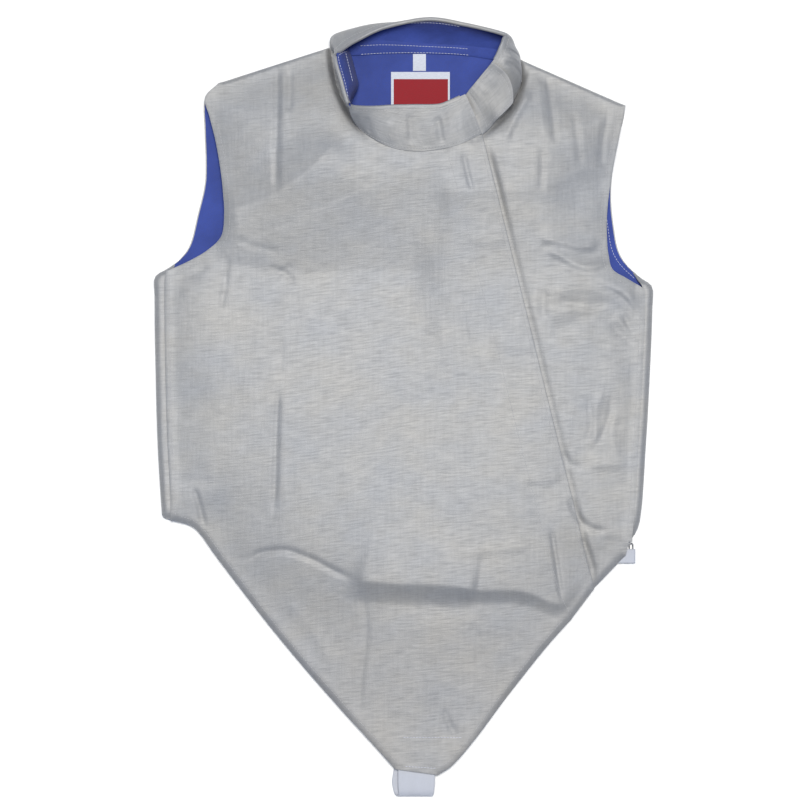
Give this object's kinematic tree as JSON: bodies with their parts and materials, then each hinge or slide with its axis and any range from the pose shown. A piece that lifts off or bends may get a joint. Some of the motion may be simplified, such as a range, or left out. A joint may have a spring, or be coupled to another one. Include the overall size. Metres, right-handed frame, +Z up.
{
  "type": "fencing lame",
  "caption": "Sleeveless metallic-cloth fencing lame with blue lining, standing collar, diagonal covered closure, pointed hem and elastic loop, lying closed on its back",
  "frame": {"origin": "on the floor, under the middle of the bounding box", "axes": "+X to the wearer's left, +Y from the pointed hem to the collar, +Z up out of the front"},
  "size_m": [0.499, 0.7792, 0.0693],
  "materials": {
    "metallic_cloth": "metallic weave",
    "blue_lining": "matte weave",
    "white_elastic": "satin weave",
    "red_label": "woven",
    "steel_wire": "bare",
    "dark_zip": "matte"
  },
  "bodies": {
    "root": {"front_panel": "metallic_cloth", "side_front_panel": "metallic_cloth", "closure_flap": "metallic_cloth", "back_panel": "metallic_cloth", "collar_band": "metallic_cloth", "collar_tab": "metallic_cloth", "front_lining": "blue_lining", "side_front_lining": "blue_lining", "back_lining": "blue_lining", "collar_lining": "blue_lining", "crotch_strap": "white_elastic", "side_tab": "white_elastic", "size_tab": "white_elastic", "neck_label": "red_label", "side_hook": "steel_wire", "closure_zip": "dark_zip"}
  },
  "joints": []
}
